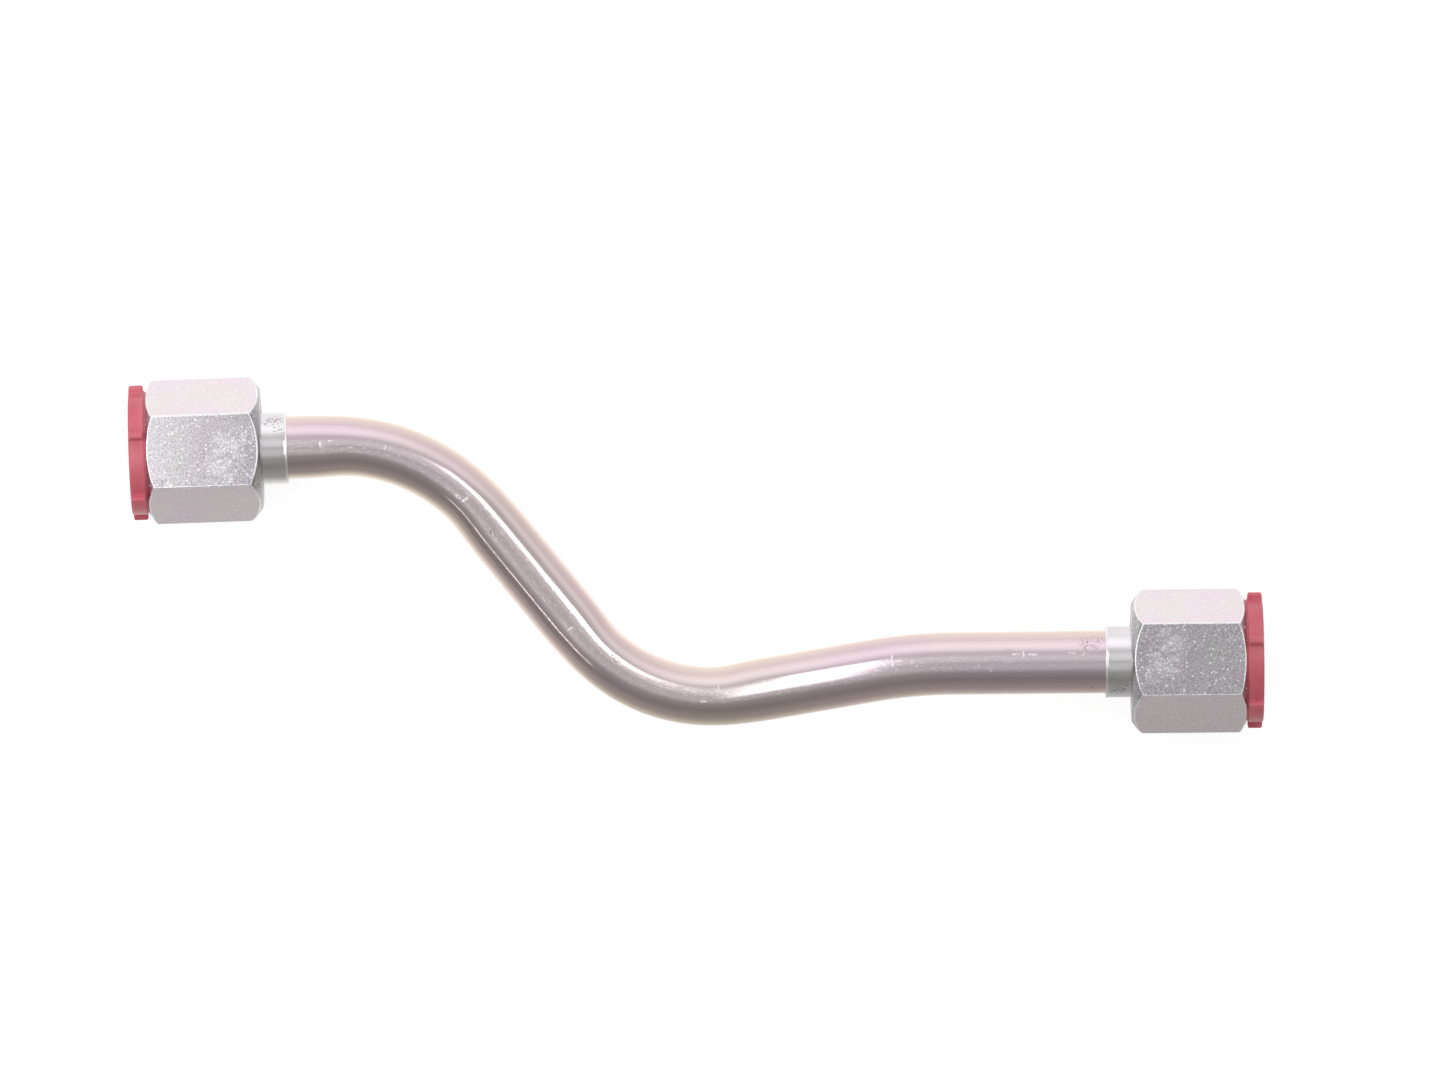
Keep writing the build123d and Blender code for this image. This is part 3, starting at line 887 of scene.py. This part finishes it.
def zinc_on_hexagon_bar():
    """Bright zinc plate on the drawn faces of hexagon bar.

    The eye sees sandy flats with faint clouds of passivate, and edges with bright lines, wear with a painted
    highlight. The flats are darker seen straight on, a painted shade standing for the shade in the pits
    between the grains; single grains carry painted glints, and a patch of the middle flat a painted
    highlight. The real sand is finer than a pixel of the picture, so it is drawn coarser, at SAND_MM, to
    show. The crowned ends are turned, and painted darker than the drawn flats, a painted darker reflection."""
    material, tree, output = blank_material("zinc_on_hexagon_bar")
    bar = bar_coordinates(tree)
    sand = grain(tree, bar, SAND_MM, detail=2.0)
    grit = add(tree, "TexVoronoi", {"Vector": bar, "Scale": 1 / SAND_MM, "Randomness": 1.0})
    facets = add(tree, "SeparateColor", {0: grit.outputs["Color"]}).outputs[0]
    clouds = grain(tree, bar, 7.5, detail=1.0)
    worn = add(tree, "Attribute", attribute_name="worn").outputs["Fac"]
    turned = add(tree, "Attribute", attribute_name="turned").outputs["Fac"]
    # Bright edge lines, ragged: wear with a painted highlight, near white
    ragged = smooth_mask(tree, combined(tree, "MULTIPLY_ADD", grain(tree, bar, 0.6), 0.9, worn), 0.78, 1.15)
    # A painted highlight: a broken patch of the middle flat, brighter, with more glints and a stronger bump
    middle_flat = [spot_at(*place, HALF_FLATS) for place in ((4.6, -6), (3.8, -16), (5.0, 9))]
    broken = smooth_mask(tree, grain(tree, bar, 2.4, detail=3.0), 0.36, 0.66)
    patch = combined(tree, "MULTIPLY", clustered(tree, bar, middle_flat, 4.0), broken)

    # Painted shade: the flats turn darker seen straight on, standing for the shade in the pits between the
    # grains
    lying = add(tree, "LayerWeight", {"Blend": 0.5}).outputs["Facing"]
    tint_with_pit_shade = shades(tree, lying, (0.0, "#D0CDD1"), (0.25, "#DAD6DA"), (0.50, "#F1E8EC"))
    stain = shades(tree, clouds, (0.36, "#FFF8FE"), (0.50, "#FDFBFC"), (0.64, "#FCFDF8"))
    # The crowned ends are turned, and painted darker: a painted darker reflection
    tint = mixed(tree, turned, tinted(tree, tint_with_pit_shade, stain), linear("#BDBBBE"))
    # Painted glints on single grains of the sand
    sand_glints = smooth_mask(tree, facets, combined(tree, "MULTIPLY_ADD", patch, -0.34, 0.93), 0.99)
    dark = smooth_mask(tree, facets, 0.16, 0.05)
    shade = smooth_mask(tree, sand, 0.53, 0.40)
    # The pits darken only seen straight on: painted shade in them
    straight_on = smooth_mask(tree, lying, 0.45, 0.10)
    pitted = combined(tree, "MULTIPLY", combined(tree, "MULTIPLY_ADD", dark, 0.5, shade), straight_on)
    tint = mixed(tree, combined(tree, "MULTIPLY", pitted, 0.70), tint, linear("#A5A2A7"))
    # The patch's painted highlight
    tint = mixed(tree, combined(tree, "MULTIPLY", patch, 0.45), tint, linear("#F4F1F5"))
    # Near white: the painted glints and the bright edge lines' painted highlight
    tint = mixed(tree, combined(tree, "MAXIMUM", sand_glints, ragged), tint, linear("#FCFBFC"))
    rough = ranged(tree, sand, 0.35, 0.65, 0.24, 0.32)
    rough = combined(tree, "MULTIPLY_ADD", sand_glints, 0.30, rough)
    relief = combined(tree, "MULTIPLY_ADD", facets, 0.35, sand)
    normal = bumped(tree, [(relief, 0.009), (combined(tree, "MULTIPLY", patch, facets), 0.016),
                           (combined(tree, "MULTIPLY", ragged, sand), 0.03)])
    metal(tree, output, tint, rough, normal)
    return material


def moulded_polyethylene():
    """Soft red polyethylene, injection moulded.

    The eye sees a slightly milky satin red, with a fine waxy grain and faint flow clouds."""
    material, tree, output = blank_material("moulded_polyethylene")
    bar = bar_coordinates(tree)
    clouds = grain(tree, bar, 3.5, (1.0, 0.6, 0.6), 3.0)
    waxy = grain(tree, bar, 0.35, detail=2.0)
    tint = shades(tree, clouds, (0.35, "#D66473"), (0.65, "#DF7683"))
    rough = ranged(tree, waxy, 0.35, 0.65, 0.28, 0.38)
    normal = bumped(tree, [(waxy, 0.008)])
    shader = add(tree, "BsdfPrincipled", {
        "Base Color": tint, "Roughness": rough, "Normal": normal, "IOR": 1.51,
        "Subsurface Weight": 0.2, "Subsurface Radius": (1.0, 0.25, 0.2), "Subsurface Scale": 0.8 * MM,
    })
    tree.links.new(shader.outputs[0], output.inputs[0])
    return material


def pale_table():
    """The white table: white to the camera apart from the pipe's shadow, and satin to the pipe's reflections.

    In those it mirrors more of the room the flatter a reflection meets it, and a shade lies on it along the
    near side of the long runs."""
    material, tree, output = blank_material("pale_table")
    path = add(tree, "LightPath").outputs
    paper = add(tree, "BsdfDiffuse", {"Color": grey(0.86)}).outputs[0]
    faint = add(tree, "BsdfDiffuse", {"Color": grey(0.45)}).outputs[0]
    lift = add(tree, "Emission", {"Color": grey(1.0), "Strength": 0.78}).outputs[0]
    seen = add(tree, "AddShader", {0: faint, 1: lift}).outputs[0]
    place = add(tree, "NewGeometry").outputs["Position"]
    up_the_table = add(tree, "SeparateXYZ", {0: place}).outputs[1]
    shaded = smooth_mask(tree, up_the_table, -48 * MM, -62 * MM)
    beyond = smooth_mask(tree, up_the_table, -74 * MM, -94 * MM)
    strength = combined(tree, "MULTIPLY_ADD", shaded, -0.34, 0.49)
    strength = combined(tree, "MULTIPLY_ADD", beyond, 0.22, strength)
    glow = add(tree, "Emission", {"Color": (1.0, 0.975, 0.96, 1), "Strength": strength}).outputs[0]
    bright = add(tree, "AddShader", {0: paper, 1: glow}).outputs[0]
    satin = add(tree, "BsdfGlossy", {"Color": grey(0.97), "Roughness": 0.40}).outputs[0]
    lying = add(tree, "LayerWeight", {"Blend": 0.75}).outputs["Facing"]
    mirrored = add(tree, "MixShader", {0: lying, 1: bright, 2: satin}).outputs[0]
    shiny = combined(tree, "MAXIMUM", path["Is Glossy Ray"], path["Is Transmission Ray"])
    rest = add(tree, "MixShader", {0: shiny, 1: paper, 2: mirrored}).outputs[0]
    surface = add(tree, "MixShader", {0: path["Is Camera Ray"], 1: rest, 2: seen}).outputs[0]
    tree.links.new(surface, output.inputs[0])
    return material


def room_light():
    """A studio sky: white to the camera, and otherwise bands of light along X, bright towards +Y and dark
    from 30 degrees past overhead towards -Y.

    The band is set by the angle atan2(y, z) from overhead. Towards +Y it falls off with |x| of the direction.
    Over each end hangs a bright panel, where |x| is large and |y| small, with a darker wall beyond it. The
    dark side is a little warmer."""
    world = bpy.data.worlds.new("studio")
    bpy.context.scene.world = world
    world.use_nodes = True
    tree = world.node_tree
    tree.nodes.clear()
    direction = add(tree, "TexCoord").outputs["Generated"]
    parts = add(tree, "SeparateXYZ", {0: direction}).outputs
    angle = combined(tree, "ARCTAN2", parts[1], parts[2])
    first, last = SKY_BANDS[0][0], SKY_BANDS[-1][0]
    share = ranged(tree, angle, math.radians(first), math.radians(last), 0, 1)
    light = ramp(tree, share, [
        ((degrees - first) / (last - first), (level, level, level * (WARM_BLUE if degrees < -30 else 1), 1))
        for degrees, level in SKY_BANDS])
    along = combined(tree, "ABSOLUTE", parts[0], 0.0)
    one_side = combined(tree, "MULTIPLY", along, smooth_mask(tree, parts[1], -0.1, 0.2))
    falling = ramp(tree, one_side, [(x, grey(level)) for x, level in SKY_FALL])
    light = tinted(tree, light, falling)
    beside = combined(tree, "ABSOLUTE", parts[1], 0.0)
    panel = combined(tree, "MULTIPLY", smooth_mask(tree, along, 0.36, 0.46),
                     smooth_mask(tree, beside, 0.30, 0.20))
    light = mixed(tree, panel, light, grey(PANEL_LIGHT))
    light = mixed(tree, smooth_mask(tree, along, 0.80, 0.88), light, grey(WALL_LIGHT))
    sky = add(tree, "Background", {"Color": light, "Strength": 1.0}).outputs[0]
    white = add(tree, "Background", {"Color": grey(1.0), "Strength": 1.0}).outputs[0]
    seen = add(tree, "LightPath").outputs["Is Camera Ray"]
    surface = add(tree, "MixShader", {0: seen, 1: sky, 2: white}).outputs[0]
    tree.links.new(surface, add(tree, "OutputWorld").inputs[0])


def lamp(name, aim, tilt, towards, distance, width, length, radiance):
    """A rectangular lamp that faces a point (mm) from a tilt off overhead towards a heading, in degrees.

    Its length lies square to that heading. Power in watts is radiance times pi times its area."""
    data = bpy.data.lights.new(name, "AREA")
    data.shape = "RECTANGLE"
    data.size = width
    data.size_y = length
    data.energy = radiance * math.pi * width * length
    lit = bpy.data.objects.new(name, data)
    bpy.context.scene.collection.objects.link(lit)
    tilt, towards = math.radians(tilt), math.radians(towards)
    away = np.array([math.sin(tilt) * math.cos(towards), math.sin(tilt) * math.sin(towards), math.cos(tilt)])
    lit.location = np.array(aim) * MM + away * distance
    lit.rotation_euler = (0, tilt, towards)
    lit.visible_camera = False


def camera():
    """Looks straight down, turned with the photograph, from where its perspective matches."""
    data = bpy.data.cameras.new("camera")
    data.lens = CAMERA_LENS
    data.sensor_width = CAMERA_SENSOR
    data.clip_end = CAMERA_REACH
    view = bpy.data.objects.new("camera", data)
    view.location = CAMERA_AT
    view.rotation_euler = (0, 0, math.radians(CAMERA_TURN))
    bpy.context.scene.collection.objects.link(view)
    bpy.context.scene.camera = view


def table():
    """The table under the pipe's lowest point."""
    low = cad_box[0][2]
    mesh = bpy.data.meshes.new("table")
    corners = [(x * TABLE_HALF, y * TABLE_HALF, low) for x, y in ((-1, -1), (1, -1), (1, 1), (-1, 1))]
    mesh.from_pydata(corners, [], [(0, 1, 2, 3)])
    mesh.materials.append(pale_table())
    piece = bpy.data.objects.new("table", mesh)
    bpy.context.scene.collection.objects.link(piece)


def finish(piece, material, body, node):
    """Gives a piece its material and body, and hides the imported part named node."""
    piece.data.materials.append(material)
    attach(piece, body)
    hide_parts(node)


camera()
room_light()
table()
# The key gives the broad streak on the middle run, the strip its thin line and the low card the glow past the
# second bend. The last lights the left nut from its own side.
lamp("key", (70, -25, 0), 32, 44, 2.5, 0.57, 0.70, 1.85)
lamp("strip", (70, -25, 0), 62, 219, 2.5, 0.05, 0.55, 4.5)
lamp("low_card", (113.5, -28, 6), 0, 90, 0.076, 0.068, 0.020, 1.9)
lamp("left_nut_side", (-6, 0, 0), 20, 180, 0.16, 0.10, 0.12, 1.5)

tube_zinc = zinc_on_drawn_tube()
sleeve_zinc = zinc_on_turned_sleeve()
nut_zinc = zinc_on_hexagon_bar()
red = moulded_polyethylene()
finish(tube(), tube_zinc, "pipe", "tube")
for side in ends:
    finish(sleeve(side), sleeve_zinc, "pipe", side + "_sleeve")
    finish(nut(side), nut_zinc, side + "_nut", side + "_nut")
    finish(plug(side), red, side + "_plug", side + "_plug")

bpy.context.scene.view_settings.view_transform = "Standard"
